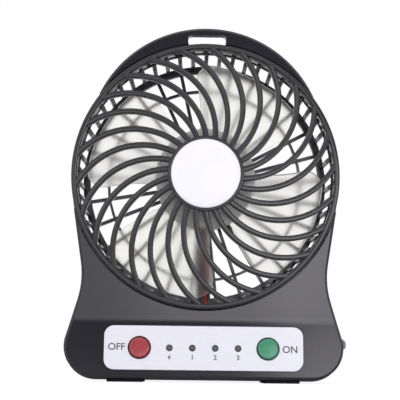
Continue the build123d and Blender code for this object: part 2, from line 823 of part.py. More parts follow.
def make_circuit_board():
    board = Rectangle(board_wide, board_high)
    ear_up = (board_ear_z - panel_z) / math.cos(base_slope)
    board = board + Pos(0, ear_up) * Rectangle(2 * board_ear_x, board_ear_high)
    for side in (-1, 1):
        board = board - Pos(side * board_screw_x, 0) * RegularPolygon(small_screw_r + slide_gap, post_sides)
    return extrude(panel.offset(-board_depth - board_thick) * board, amount=board_thick)


def make_board_screws():
    screws = Part()
    back = -board_depth - board_thick
    for side in (-1, 1):
        x = side * board_screw_x
        screws = screws + panel_prism(x, back, -board_depth + board_screw_long, small_screw_r)
        screws = screws + panel_prism(x, back - small_head_high, back, small_head_r)
    return screws


def make_side_lamp():
    """A round lamp that looks out of the right side."""
    return rod_x(side_lamp_r, board_ear_x + gap, side_lamp_tip_x, side_lamp_y(), side_lamp_z)


def make_lamp_switch():
    """A slide switch behind the right wall: a fixed body and its sliding knob."""
    wall_x = outline_half_width(switch_z)
    inner_x = wall_x - 1.4 * wall
    middle = switch_y + switch_travel / 2
    body = block(
        inner_x - switch_deep, inner_x, middle - switch_half_long, middle + switch_half_long,
        switch_z - switch_half_high, switch_z + switch_half_high,
    )
    reach = knob_long / 2 + slide_gap
    well_high = knob_stem_high / 2 + gap / 2
    body = body - block(
        inner_x - knob_stem_deep, far, switch_y - reach, switch_y + switch_travel + reach,
        switch_z - well_high, switch_z + well_high,
    )
    knob = block(
        inner_x + gap / 2, wall_x - gap, switch_y - knob_long / 2, switch_y + knob_long / 2,
        switch_z - knob_high / 2, switch_z + knob_high / 2,
    )
    stem_half = knob_long / 2 - slide_gap
    stem = block(
        inner_x - knob_stem_deep + gap, inner_x + gap, switch_y - stem_half, switch_y + stem_half,
        switch_z - knob_stem_high / 2, switch_z + knob_stem_high / 2,
    )
    return body, knob + stem


def make_usb_socket():
    """A metal charging socket, open to the left."""
    mouth_x = -outline_half_width(socket_z) + socket_sink
    end_x = mouth_x + socket_long
    high, wide = socket_high / 2, socket_wide / 2
    y, z = socket_y(), socket_z
    shell = block(mouth_x, end_x, y - high, y + high, z - wide, z + wide)
    shell = fillet(shell.edges().filter_by(Axis.X), 2 * socket_skin)
    high, wide = high - socket_skin, wide - socket_skin
    shell = shell - block(mouth_x - 1.0, end_x - 2 * socket_skin, y - high, y + high, z - wide, z + wide)
    high, wide = tongue_thick / 2, wide - tongue_inset
    return shell + block(mouth_x + 1.0, end_x - socket_skin, y - high, y + high, z - wide, z + wide)


# ---------------------------------------------------------------- battery, door and foot
def make_battery_cell():
    end_x = cell_long / 2
    cell = rod_x(cell_r, -end_x, end_x, cell_y, cell_z)
    return cell + rod_x(nipple_r, end_x - nipple_high, end_x + nipple_high, cell_y, cell_z)


def make_battery_contacts():
    """A plate with a raised spot at the plus end, a plate with a bowed leaf spring at the minus end."""
    half = contact_wide / 2
    plate_x = bay_half - contact_thick
    plus = block(plate_x, bay_half, cell_y - half, cell_y + half, cell_z - half, cell_z + half)
    spot_x = cell_long / 2 + nipple_high + 0.05
    plus = plus + rod_x(contact_r, spot_x, bay_half - contact_thick / 2, cell_y, cell_z)
    minus = block(-bay_half, -plate_x, cell_y - half, cell_y + half, cell_z - half, cell_z + half)
    top, cell_end, root_x = leaf_long / 2, -cell_long / 2 - 0.05, -plate_x - leaf_thick / 2
    back = ThreePointArc((root_x, -top), (cell_end - leaf_thick, 0), (root_x, top))
    front = Pos(leaf_thick, 0) * back
    ends = [Line(back @ 0, front @ 0), Line(back @ 1, front @ 1)]
    leaf = extrude(make_face([back, front, *ends]), amount=leaf_wide / 2, both=True)
    return plus, minus + Pos(0, cell_y, cell_z) * leaf


def make_battery_door():
    """The lift-off door in the back, with a thumb notch and grip ribs."""
    high = door_high_z - door_low_z
    form = Pos(0, (door_low_z + door_high_z) / 2) * RectangleRounded(2 * door_half, high, door_corner)
    door = slab(form, base_back_y - door_thick, base_back_y)
    rim = door.edges().filter_by(lambda e: e.center().Y > base_back_y - 0.01)
    door = chamfer(rim, door_bevel)
    notch = Pos(0, door_high_z - notch_drop) * SlotOverall(notch_wide, notch_high)
    door = door - slab(notch, base_back_y - notch_deep, far)
    for i in range(grip_count):
        grip = Pos(0, door_high_z - grip_drop - i * grip_pitch) * Rectangle(notch_wide, grip_high)
        door = door - slab(grip, base_back_y - grip_deep, far)
    return door


def make_foot_plate():
    """The fold-out foot: a flat plate with a knuckle along its back edge."""
    plate = block(-foot_half, foot_half, foot_front_y, pin_y, foot_low_z, foot_low_z + foot_thick)
    front = plate.edges().filter_by(Axis.Z).sort_by(Axis.Y)[:2]
    plate = fillet(front, foot_corner)
    plate = plate + rod_x(foot_knuckle_r, -foot_half, foot_half, pin_y, knuckle_z)
    plate = plate - Pos(0, foot_front_y, foot_low_z) * Cylinder(finger_r, foot_thick)
    return plate - rod_x(pin_r + running_gap, -far, far, pin_y, knuckle_z)


def make_rubber_feet():
    return Part() + [pad_form(side, 0.0) for side in (-1, 1)]


def make_case_screws():
    screws = Part()
    for x, z in both_sides(case_screws_at):
        screws = screws + prism(screw_r, face_depth(z) + 1.6 * wall, screw_seat_y, x, z)
        screws = screws + prism(screw_head_r, screw_seat_y, screw_seat_y + screw_head_high, x, z)
    return screws


# ---------------------------------------------------------------- write every piece
os.makedirs("parts", exist_ok=True)

save("front_shell", make_front_shell())
save("rear_shell", make_rear_shell())
save("front_grille", make_front_grille())
save("hub_badge", make_hub_badge())
rear_guard, guard_cage = make_rear_guard()
save("rear_guard", rear_guard)
save("guard_cage", guard_cage)
save("impeller", make_impeller())
for name, piece in make_motor().items():
    save(name, piece)
motor_clamp, motor_screws = make_motor_clamp()
save("motor_clamp", motor_clamp)
save("motor_screws", motor_screws)
save("red_motor_lead", make_lead(1))
save("black_motor_lead", make_lead(-1))

save("panel_plate", make_panel_plate())
for name, side in (("off", -1), ("on", 1)):
    button, plunger = make_button(side)
    save(f"{name}_button", button)
    save(f"{name}_plunger", plunger)
    save(f"{name}_switch", make_tact_switch(side))
for name, x in zip(("charging_lamp", "speed_lamp_1", "speed_lamp_2", "speed_lamp_3"), lamp_places()):
    save(name, make_panel_lamp(x))
save("circuit_board", make_circuit_board())
save("board_screws", make_board_screws())
save("side_lamp", make_side_lamp())
lamp_switch, lamp_knob = make_lamp_switch()
save("lamp_switch", lamp_switch)
save("lamp_knob", lamp_knob)
save("usb_socket", make_usb_socket())

save("battery_cell", make_battery_cell())
plus_contact, minus_spring = make_battery_contacts()
save("battery_contact", plus_contact)
save("battery_spring", minus_spring)
save("battery_door", make_battery_door())
save("foot_plate", make_foot_plate())
save("foot_pin", rod_x(pin_r, -pin_half, pin_half, pin_y, knuckle_z))
save("rubber_feet", make_rubber_feet())
save("case_screws", make_case_screws())
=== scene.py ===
# %% [markdown]
# # A pocket camping fan
#
# The fan is a black moulded case with a round air path. A swirl grille closes the front, an open
# basket closes the back, and a translucent impeller turns between them. The base holds a cell, a
# small control board and a printed panel with two push buttons.
#
# The CAD model gives every piece its size and place. This script loads it as a fixed frame and then
# works on what the eye sees: eased edges, rounded ribs, printed signs, and a finish for each piece.

# %% Load the frame
import json
import math

import bmesh
import bpy
from mathutils import Matrix, Vector

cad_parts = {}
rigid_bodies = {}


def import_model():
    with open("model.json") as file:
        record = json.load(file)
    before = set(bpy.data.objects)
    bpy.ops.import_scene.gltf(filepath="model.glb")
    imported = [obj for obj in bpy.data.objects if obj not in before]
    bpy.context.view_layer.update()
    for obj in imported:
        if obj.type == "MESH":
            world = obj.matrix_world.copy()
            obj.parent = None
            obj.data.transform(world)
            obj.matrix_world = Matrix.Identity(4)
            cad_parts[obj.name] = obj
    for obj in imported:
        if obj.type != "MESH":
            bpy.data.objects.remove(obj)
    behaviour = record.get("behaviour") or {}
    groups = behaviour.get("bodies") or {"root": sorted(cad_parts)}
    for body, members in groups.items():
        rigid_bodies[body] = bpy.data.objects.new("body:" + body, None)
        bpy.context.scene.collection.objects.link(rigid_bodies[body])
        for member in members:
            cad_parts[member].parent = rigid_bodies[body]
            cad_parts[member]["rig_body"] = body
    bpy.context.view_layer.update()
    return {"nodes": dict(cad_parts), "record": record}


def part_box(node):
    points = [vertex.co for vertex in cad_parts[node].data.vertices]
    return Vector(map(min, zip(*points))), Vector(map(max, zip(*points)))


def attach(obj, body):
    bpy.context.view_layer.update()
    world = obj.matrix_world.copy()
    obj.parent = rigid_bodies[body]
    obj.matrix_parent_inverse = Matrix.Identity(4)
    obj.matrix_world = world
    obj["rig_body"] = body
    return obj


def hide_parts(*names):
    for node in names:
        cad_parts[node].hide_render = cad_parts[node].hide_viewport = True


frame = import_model()
nodes = frame["nodes"]
slot_of = {row["node"]: row["material_slot"] for row in frame["record"]["subparts"]}
body_of = {name: node["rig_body"] for name, node in nodes.items()}

# %% [markdown]
# ## Sizes
#
# Blender works in metres, and a fan this small is easier to think of in millimetres. The numbers
# below repeat the ones that the CAD model was drawn with, so that a new piece lands exactly where
# its plain CAD piece is. Two local frames save a lot of arithmetic: one looks out of the fan's
# front along the impeller's axis, and one lies on the control panel. The face leans between its
# crease and its foot, and the panel leans with it.

# %% Units and local frames
MM = 0.001
AXIS_HEIGHT = 82.5
CREASE_DEPTH, CREASE_HEIGHT = -12.5, 24.5
FOOT_DEPTH, FOOT_HEIGHT = -15.0, 1.5
LEAN = math.atan2(CREASE_DEPTH - FOOT_DEPTH, CREASE_HEIGHT - FOOT_HEIGHT)
PANEL_HEIGHT = 13.5
PANEL_DEPTH = CREASE_DEPTH - (CREASE_HEIGHT - PANEL_HEIGHT) * math.tan(LEAN)


def local_frame(origin, right, up, out):
    """A matrix that takes local X, Y and Z to these directions, about an origin in millimetres."""
    turn = Matrix((right, up, out)).transposed().to_4x4()
    return Matrix.Translation(Vector(origin) * MM) @ turn


fan_front = local_frame((0, 0, AXIS_HEIGHT), (1, 0, 0), (0, 0, 1), (0, -1, 0))
panel_face = local_frame(
    (0, PANEL_DEPTH, PANEL_HEIGHT), (1, 0, 0),
    (0, math.sin(LEAN), math.cos(LEAN)), (0, -math.cos(LEAN), math.sin(LEAN)),
)
print("the panel leans by", round(math.degrees(LEAN), 2), "degrees")

# %% [markdown]
# ## The camera
#
# The camera stands just above the table, half a metre away, and looks up a little, as someone does
# who sits at that table. Its place and two angles are easier to read than a matrix, so the matrix
# is built from them: forward, then right, then up, with a slight roll.

# %% Camera
CAMERA_AT = Vector((-0.00830, -0.500, 0.006))
YAW, PITCH, ROLL = (math.radians(a) for a in (0.736, 6.826, 0.676))
LENS, SENSOR, SHIFT_UP = 110.81, 36.0, 0.05
forward = Vector((math.sin(YAW) * math.cos(PITCH), math.cos(YAW) * math.cos(PITCH), math.sin(PITCH)))
level_right = forward.cross(Vector((0, 0, 1))).normalized()
level_up = level_right.cross(forward)
right = level_right * math.cos(ROLL) + level_up * math.sin(ROLL)
up = level_up * math.cos(ROLL) - level_right * math.sin(ROLL)
lens = bpy.data.cameras.new("table_camera")
lens.lens, lens.sensor_width, lens.shift_y = LENS, SENSOR, SHIFT_UP
lens.clip_start, lens.clip_end = 0.01, 50.0
camera = bpy.data.objects.new("table_camera", lens)
camera.matrix_world = Matrix.Translation(CAMERA_AT) @ Matrix((right, up, -forward)).transposed().to_4x4()
bpy.context.scene.collection.objects.link(camera)
bpy.context.scene.camera = camera
print("camera", [round(v * 1000) for v in CAMERA_AT], "mm")

# %% [markdown]
# ## Colours and shader nodes
#
# A paint chart gives a colour as an sRGB hex value, and a renderer adds up linear light, so one
# function turns the first into the second. Another adds a shader node, fills its sockets and joins
# its links, so that a material reads as a short recipe.

# %% Colour and node helpers


def linear(colour):
    """An sRGB hex colour as linear red, green, blue and alpha."""
    parts = [int(colour[i : i + 2], 16) / 255 for i in (1, 3, 5)]
    return (*[p / 12.92 if p <= 0.04045 else ((p + 0.055) / 1.055) ** 2.4 for p in parts], 1.0)


def new_finish(name):
    """An empty material, and the node tree to fill."""
    material = bpy.data.materials.new(name)
    material.use_nodes = True
    material.node_tree.nodes.clear()
    return material, material.node_tree


def add_node(tree, kind, settings=None, links=None):
    """Adds a node, sets its sockets or properties, and links other nodes' outputs to its sockets."""
    node = tree.nodes.new(kind)
    for key, value in (settings or {}).items():
        if isinstance(key, str) and hasattr(node, key):
            setattr(node, key, value)
        else:
            node.inputs[key].default_value = value
    for key, output in (links or {}).items():
        tree.links.new(output, node.inputs[key])
    return node


print("node helpers are ready")

# %% [markdown]
# ## One recipe for moulded, printed and plated surfaces
#
# Nothing on this fan is one flat colour. Dye, dust, plating and wear move the colour between two
# close tones, gloss moves between two roughnesses, and a shallow bump gives the grain. Each of the
# three follows a noise that has its own size in millimetres. Patterns lie on Object coordinates,
# which are metres here, so a noise with features of s millimetres has scale 1000 / s. Every finish
# below is this one recipe with its own values, and what is the same all over the surface, such as
# its index of refraction, is set on the shader itself.

# %% The recipe
finishes = {}


def speckled_finish(slot, name, tones, gloss, grains, bump=None, surface=None):
    """Makes the finish of a slot from two sRGB tones and two roughnesses.

    grains are the noises that move the tone, the gloss and the bump, each as its size in
    millimetres and its detail. bump is its strength and its depth in millimetres, and surface
    holds the shader's own sockets."""
    material, tree = new_finish(name)
    place = add_node(tree, "ShaderNodeTexCoord").outputs["Object"]
    noises = {}
    for size, detail in dict.fromkeys(grains):
        noise = add_node(
            tree, "ShaderNodeTexNoise", {"Scale": 1000 / size, "Detail": detail}, {"Vector": place}
        )
        noises[size, detail] = noise.outputs[0]
    tone_noise, gloss_noise, bump_noise = (noises[grain] for grain in grains)
    tone = add_node(
        tree, "ShaderNodeMix", {"data_type": "RGBA", 6: linear(tones[0]), 7: linear(tones[1])},
        {0: tone_noise},
    )
    shine = add_node(
        tree, "ShaderNodeMapRange", {"To Min": gloss[0], "To Max": gloss[1]}, {"Value": gloss_noise}
    )
    links = {"Base Color": tone.outputs[2], "Roughness": shine.outputs[0]}
    if bump:
        relief = add_node(
            tree, "ShaderNodeBump", {"Strength": bump[0], "Distance": bump[1] * MM}, {"Height": bump_noise}
        )
        links["Normal"] = relief.outputs[0]
    shader = add_node(tree, "ShaderNodeBsdfPrincipled", surface, links)
    add_node(tree, "ShaderNodeOutputMaterial", links={"Surface": shader.outputs[0]})
    finishes[slot] = material


print("the recipe is ready")

# %% [markdown]
# ## Case plastic
#
# The two housings, the battery door and the foot plate are injection-moulded ABS, dyed black. The
# mould's surface is fine satin. It is fairly smooth between its grains, and the grain itself makes
# the highlight soft and wide instead of a mirror image. A finger leaves it slightly glossier in broad
# patches, so roughness follows a slow noise. Grain is far too fine to model, so it is a shallow bump.
# Real grain is about 0.1 mm, and it is drawn at 0.45 mm so that it shows.

# %% Satin black ABS
handled, grain = (22.0, 3.0), (0.45, 2.0)
speckled_finish(
    "case_plastic", "abs_moulded_satin_black", tones=("#15141b", "#1c1b23"), gloss=(0.13, 0.17),
    grains=(handled, handled, grain), bump=(0.12, 0.02), surface={"IOR": 1.54},
)
print(finishes["case_plastic"].name, "for the housings")

# %% [markdown]
# The bore that the air goes through is shaped by the mould's polished core, so it is the same ABS
# without the grain. Seen along its wall it mirrors what is behind the fan, more strongly than one bare
# layer would, so it has a clear coat as well. A slow noise, as from the melt's flow, moves its gloss.

# %% Polished bore
flow = (8.0, 2.0)
speckled_finish(
    "bore", "abs_core_polished_black", tones=("#131316", "#1a1a1d"), gloss=(0.05, 0.1),
    grains=(flow, flow, flow),
    surface={"IOR": 1.54, "Coat Weight": 1.0, "Coat Roughness": 0.05, "Coat IOR": 1.7},
)
print(finishes["bore"].name, "for the air path")

# %% [markdown]
# ## Guard plastic
#
# The grille, the rear basket and the motor's clamp are moulded in the same black, but without the
# grain, since thin ribs are hard to texture. Use has dulled them evenly, so their long highlights
# are a little wide, and faint flow marks of about 3 mm break them up.

# %% Semi-gloss black ABS
flow = (3.0, 3.0)
speckled_finish(
    "guard_plastic", "abs_moulded_semigloss_black", tones=("#17171a", "#1f1f22"), gloss=(0.16, 0.22),
    grains=(flow, flow, flow), bump=(0.1, 0.02), surface={"IOR": 1.54},
)
print(finishes["guard_plastic"].name, "for the grille and the basket")

# %% [markdown]
# ## Blade plastic
#
# The impeller is moulded in natural polypropylene, which is milky: light goes through a thin blade
# but is scattered on the way, so the basket behind it shows as soft grey shadows. Subsurface
# scattering could do that, but it is slow and noisy in so thin a wall, and a surface with a rough
# transmission looks the same. Its cup is thicker and lets less light through. The clouds are faint
# differences in how the melt cooled. Solid polypropylene has an index of 1.49, but a clear wall
# bends light more than a milky one seems to, so 1.3 is used.

# %% Milky polypropylene
cloud = (14.0, 2.0)
# slot: name, transmission
milky = {
    "blade_plastic": ("polypropylene_natural_thin", 0.98),
    "cup_plastic": ("polypropylene_natural_thick", 0.5),
}
for slot, (name, clear) in milky.items():
    speckled_finish(
        slot, name, tones=("#fdfcf7", "#fffffc"), gloss=(0.42, 0.48), grains=(cloud, cloud, cloud),
        bump=(0.05, 0.02), surface={"IOR": 1.3, "Transmission Weight": clear},
    )
print("milky plastics:", ", ".join(row[0] for row in milky.values()))

# %% [markdown]
# ## Badge, buttons and lamps
#
# The cap on the grille's hub is glossy white ABS with a clear lacquer. The two push buttons are dyed
# right through, red and green, and polished, so they carry a small sharp highlight. The panel's
# lamps are light pipes of smoked polycarbonate, and look like dark grey dots until they are lit. The
# lamp in the side is clear. A slow noise moves the colour a little, as dye does, and a finer one
# moves the gloss, as wear does.

# %% Dyed glossy plastics
dye, wear = (6.0, 2.0), (1.5, 3.0)
# slot: name, two tones, two roughnesses, index of refraction, lacquer, transmission
glossy = {
    "badge_plastic": ("abs_lacquered_white", "#e9e9ed", "#efeff2", 0.28, 0.36, 1.52, 0.0, 0.0),
    "red_plastic": ("abs_polished_red", "#942129", "#a12b32", 0.22, 0.32, 1.54, 0.2, 0.0),
    "green_plastic": ("abs_polished_green", "#26835b", "#309067", 0.22, 0.32, 1.54, 0.2, 0.0),
    "lamp_plastic": ("polycarbonate_smoked", "#3c3c42", "#4a4a50", 0.2, 0.3, 1.58, 0.0, 0.0),
    "side_lamp_plastic": ("acrylic_clear_cast", "#f2f4f6", "#fafbfc", 0.04, 0.1, 1.49, 0.0, 0.85),
}
for slot, (name, low, high, smooth, rough, ior, coat, clear) in glossy.items():
    speckled_finish(
        slot, name, tones=(low, high), gloss=(smooth, rough), grains=(dye, wear, wear), bump=(0.05, 0.02),
        surface={"IOR": ior, "Coat Weight": coat, "Coat Roughness": 0.05, "Transmission Weight": clear},
    )
print("glossy plastics:", ", ".join(row[0] for row in glossy.values()))

# %% [markdown]
# ## The printed panel
#
# The panel is a thin polycarbonate plate, printed silver-grey from the front and lacquered. Up
# close the ink is not even: a very fine metallic grain glitters in it. The grain is drawn at 0.5 mm,
# about ten times its real size, because the real one is too fine to show. Fingers smear its gloss.

# %% Silver-grey printed polycarbonate
flakes, smears = (0.5, 2.0), (12.0, 2.0)
speckled_finish(
    "panel_plastic", "polycarbonate_printed_silver_grey", tones=("#d9dae1", "#e5e6ec"), gloss=(0.28, 0.4),
    grains=(flakes, smears, flakes), bump=(0.08, 0.02),
    surface={"IOR": 1.58, "Coat Weight": 0.15, "Coat Roughness": 0.15},
)
print(finishes["panel_plastic"].name, "for the panel")

# %% [markdown]
# ## Dull black pieces and the board
#
# The switches, their knob and the motor's end are black nylon, dull from its glass fibre. The feet
# are soft rubber, which is the dullest black here and carries grey dust. The printed signs are dark
# grey screen ink. The board is glass-fibre laminate under green solder mask, where copper tracks
# stand a little proud: a coarse noise hints at them. The cell wears a blue shrink sleeve, and the
# two leads have PVC insulation.

# %% Dull plastics, rubber, ink and sleeves
# slot: name, two tones, two roughnesses, index of refraction, grain in millimetres, bump
dull = {
    "switch_plastic": ("nylon_glass_filled_black", "#1a1a1b", "#222223", 0.5, 0.65, 1.53, 0.4, 0.2),
    "foot_rubber": ("silicone_rubber_black", "#1c1c1c", "#2b2b2a", 0.75, 0.9, 1.43, 0.8, 0.3),
    "board_laminate": ("glass_fibre_board_green", "#0e4a26", "#1a6336", 0.25, 0.4, 1.5, 1.2, 0.4),
    "cell_sleeve": ("pvc_shrink_sleeve_blue", "#1f4f96", "#2a5ba4", 0.25, 0.35, 1.53, 5.0, 0.1),
    "red_lead": ("pvc_insulation_red", "#b01c16", "#c2281f", 0.35, 0.5, 1.53, 1.0, 0.1),
    "black_lead": ("pvc_insulation_black", "#141414", "#1d1d1d", 0.35, 0.5, 1.53, 1.0, 0.1),
    "sign_ink": ("screen_ink_dark_grey", "#3a3b40", "#4a4b50", 0.45, 0.6, 1.5, 0.6, 0.1),
}
for slot, (name, low, high, smooth, rough, ior, size, strength) in dull.items():
    dust = (size, 3.0)
    speckled_finish(
        slot, name, tones=(low, high), gloss=(smooth, rough), grains=(dust, dust, dust),
        bump=(strength, 0.03), surface={"IOR": ior},
    )
print("dull finishes:", ", ".join(row[0] for row in dull.values()))

# %% [markdown]
# ## Metals
#
# The screws, contacts, socket and motor can are zinc-plated steel: bright, but with a cloudy grain
# that scatters the highlight. The bushes are sintered bronze, porous and oily, and the motor's
# magnet is sintered ferrite, nearly black and matt. A metal's colour comes from its reflection, so
# the base colour is the metal's own tint and the index of refraction stays as it is.

# %% Plated steel, bronze and ferrite
# slot: name, two tones, two roughnesses, crystal size in millimetres, metallic
metals = {
    "steel": ("steel_zinc_plated", "#b4b6b8", "#cfd1d2", 0.22, 0.42, 0.7, 1.0),
    "bush_bronze": ("bronze_sintered", "#8c6a3c", "#a9824c", 0.4, 0.55, 0.4, 1.0),
    "magnet_ferrite": ("ferrite_sintered", "#2a2a2c", "#37373a", 0.6, 0.8, 0.5, 0.0),
}
for slot, (name, low, high, smooth, rough, size, metallic) in metals.items():
    crystals = (size, 3.0)
    speckled_finish(
        slot, name, tones=(low, high), gloss=(smooth, rough), grains=(crystals, crystals, crystals),
        bump=(0.1, 0.02), surface={"Metallic": metallic},
    )
print("metals:", ", ".join(row[0] for row in metals.values()))

# %% [markdown]
# ## Dress the CAD pieces
#
# Each CAD piece names a material slot in its record. Giving every one its finish at once means that
# nothing is left bare, also inside the case, and later cells only have to deal with the pieces that
# get a new shape.

# %% Finish every CAD piece
for name, node in nodes.items():
    node.data.materials.clear()
    node.data.materials.append(finishes[slot_of[name]])
print(len(nodes), "pieces in", len({slot_of[name] for name in nodes}), "finishes")

# %% [markdown]
# ## The motor's leads
#
# Two thin leads run from the motor down a trough at the back of the basket, forward over the battery
# and down to the board. A lead this thin is limp, so it bends gently at each corner of its route. A
# NURBS curve through few control points gives such a line: it leaves its first point straight,
# rounds each corner, and ends at its last. Its order is set after the points, because a curve with
# too few points can't take it. A round bevel gives the curve its thickness.

# %% Two leads as curves
LEAD_ROUTE = ((12.6, 70.25), (12.6, 29.7), (10.2, 27.3), (-3.9, 27.3), (-5.1, 26.1), (-5.1, 21.5))
LEAD_SIDE, LEAD_RADIUS = 0.9, 0.6
for lead, x in (("red", LEAD_SIDE), ("black", -LEAD_SIDE)):
    curve = bpy.data.curves.new(f"{lead}_lead", "CURVE")
    curve.dimensions = "3D"
    curve.bevel_depth, curve.bevel_resolution, curve.use_fill_caps = LEAD_RADIUS * MM, 4, True
    line = curve.splines.new("NURBS")
    line.points.add(len(LEAD_ROUTE) - 1)
    for point, (y, z) in zip(line.points, LEAD_ROUTE):
        point.co = (x * MM, y * MM, z * MM, 1.0)
    line.order_u, line.use_endpoint_u, line.resolution_u = 3, True, 12
    curve.materials.append(finishes[f"{lead}_lead"])
    piece = bpy.data.objects.new(f"{lead}_lead", curve)
    bpy.context.scene.collection.objects.link(piece)
    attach(piece, "fan_body")
    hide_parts(f"{lead}_motor_lead")
print("two leads of about 64 mm")

# %% [markdown]
# ## From a shape to a piece
#
# A bmesh is Blender's mesh under construction. It is drawn in millimetres in a local frame. When its
# shape is done, one function takes it to its place in metres and turns its faces outwards, and
# another makes it a piece that has its finish and moves with its body. The object itself stays at
# the origin, so that a pattern on Object coordinates neither slides nor turns.

# %% Place a shape and settle it


def put(shape, place):
    """Takes a shape in millimetres to its place in the frame, with its faces outwards."""
    bmesh.ops.scale(shape, vec=(MM, MM, MM), verts=shape.verts)
    bmesh.ops.transform(shape, matrix=place, verts=shape.verts)
    bmesh.ops.recalc_face_normals(shape, faces=shape.faces)
    return shape


def settle(shape, name, body, slot, crease=40.0):
    """Turns a bmesh in its place into a piece that rides on a body, smooth up to a crease angle."""
    mesh = bpy.data.meshes.new(name)
    shape.to_mesh(mesh)
    shape.free()
    mesh.shade_smooth()
    mesh.set_sharp_from_angle(angle=math.radians(crease))
    mesh.materials.append(finishes[slot])
    piece = bpy.data.objects.new(name, mesh)
    bpy.context.scene.collection.objects.link(piece)
    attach(piece, body)
    return piece


print("put and settle are ready")

# %% [markdown]
# ## Housings and other moulded pieces
#
# A moulded edge is never sharp: the mould itself has a small radius, and it is this radius that
# catches a line of light along every edge. The CAD pieces keep their exact planes, so copies of them
# ease only what the mould would have eased: about 0.3 mm on the housings, and less on small parts.
#
# A CAD piece is stored as loose triangles, so its copy is merged and its flat faces are joined before
# its edges can be found. The bmesh bevel would need a list of them, and a Bevel modifier picks them
# by their angle, so the modifier is used. A Weighted Normal modifier then lets the big faces decide
# how light falls on them, because otherwise each new round would shade a gradient across its flat
# neighbours.

# %% A copy with eased edges
MERGE_CAD = 0.002 * MM
FLAT_ANGLE = math.radians(0.4)


def eased_copy(node, width, inner=None, crease=30.0):
    """A merged copy of a CAD piece, its edges rounded by a width in millimetres.

    inner gives a radius about the fan's axis and the finish of what lies within it."""
    shape = bmesh.new()
    shape.from_mesh(nodes[node].data)
    bmesh.ops.remove_doubles(shape, verts=shape.verts, dist=MERGE_CAD)
    bmesh.ops.dissolve_limit(shape, angle_limit=FLAT_ANGLE, verts=shape.verts, edges=shape.edges)
    if inner:
        axis = Vector((0, 0, AXIS_HEIGHT * MM))
        for face in shape.faces:
            reach = max((Vector((v.co.x, 0, v.co.z)) - axis).length for v in face.verts)
            face.material_index = int(reach < inner[0] * MM)
    piece = settle(shape, node + "_eased", body_of[node], slot_of[node], crease=crease)
    if inner:
        piece.data.materials.append(finishes[inner[1]])
    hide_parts(node)
    ease = piece.modifiers.new("eased_edges", "BEVEL")
    ease.width, ease.segments, ease.profile = width * MM, 2, 0.5
    ease.limit_method, ease.angle_limit = "ANGLE", math.radians(crease)
    flat = piece.modifiers.new("flat_faces_stay_flat", "WEIGHTED_NORMAL")
    flat.weight, flat.keep_sharp = 100, True
    return piece


print("eased copies are ready")

# %% Eased copies
EASED = {
    "front_shell": 0.3, "rear_shell": 0.3, "battery_door": 0.15, "foot_plate": 0.2, "rubber_feet": 0.35,
    "rear_guard": 0.2, "impeller": 0.25, "panel_plate": 0.15, "lamp_knob": 0.15,
    "usb_socket": 0.08, "motor_clamp": 0.15,
}
BORE_REACH, CUP_REACH = 52.0, 20.4
INNER = {"front_shell": (BORE_REACH, "bore"), "impeller": (CUP_REACH, "cup_plastic")}
for node, width in EASED.items():
    piece = eased_copy(node, width, inner=INNER.get(node))
    print(piece.name, len(piece.data.polygons), "faces")

# %% [markdown]
# ## Turned shapes
#
# Rims, hubs, caps, buttons and lamps are round, so each is a profile turned about an axis, as on a
# lathe. A profile is a list of corners, and the corners that the real piece has rounded are bevelled
# before the turn, which costs far fewer faces than a bevel afterwards. Pieces that are made of
# several shapes are joined while they are still bmeshes.

# %% Lathe and join
MERGE_DRAWN = 0.0005


def lathe(profile, steps, closed=False):
    """Turns a profile of (radius, height, easing) corners about local Z, in millimetres."""
    shape = bmesh.new()
    corners = [shape.verts.new((radius, 0, height)) for radius, height, _ in profile]
    for a, b in zip(corners, corners[1:] + corners[:1] if closed else corners[1:]):
        shape.edges.new((a, b))
    for corner, (_, _, easing) in zip(corners, profile):
        if easing:
            bmesh.ops.bevel(
                shape, geom=[corner], offset=easing, offset_type="OFFSET", segments=4, profile=0.5,
                affect="VERTICES", material=-1,
            )
    line = shape.verts[:] + shape.edges[:]
    bmesh.ops.spin(
        shape, geom=line, cent=(0, 0, 0), axis=(0, 0, 1), angle=2 * math.pi, steps=steps, use_merge=True
    )
    bmesh.ops.remove_doubles(shape, verts=shape.verts, dist=MERGE_DRAWN)
    return shape


def absorb(shape, other):
    """Adds another bmesh to this one, and frees the other."""
    carrier = bpy.data.meshes.new("carrier")
    other.to_mesh(carrier)
    other.free()
    shape.from_mesh(carrier)
    bpy.data.meshes.remove(carrier)


print("lathe and absorb are ready")

# %% [markdown]
# ## The basket's wall
#
# The rear guard is a basket: its spoked back is an eased copy, and its wall is a ring of bars between
# the back and a flange that the housings clamp. One bar is a box with eased edges, tipped a little
# so that its front end meets the flange just behind the bore. An Array modifier could lay out the
# bars, but a spin with copies leaves one plain mesh that the flange can join. There are 58 places to
# a full turn, and the bottom one is left empty, because the leads' trough comes out there.

# %% One bar
BAR_WIDE, BAR_DEEP, BAR_EASE = 1.7, 1.5, 0.25
BAR_RADIUS, BAR_TAPER, BAR_BACK, BAR_FRONT = 49.95, 1.5, -14.0, 6.8
bars = bmesh.new()
bmesh.ops.create_cube(bars, size=1.0)
bmesh.ops.scale(bars, vec=(BAR_WIDE, BAR_DEEP, BAR_FRONT - BAR_BACK), verts=bars.verts)
bmesh.ops.bevel(
    bars, geom=bars.edges[:], offset=BAR_EASE, offset_type="OFFSET", segments=2, profile=0.5,
    affect="EDGES", material=-1,
)
bmesh.ops.translate(bars, vec=(0, BAR_RADIUS, (BAR_FRONT + BAR_BACK) / 2), verts=bars.verts)
tip = Matrix.Rotation(-math.atan2(BAR_TAPER, BAR_FRONT - BAR_BACK), 3, "X")
bmesh.ops.rotate(bars, cent=(0, BAR_RADIUS, BAR_BACK), matrix=tip, verts=bars.verts)
print("one bar", len(bars.faces), "faces")

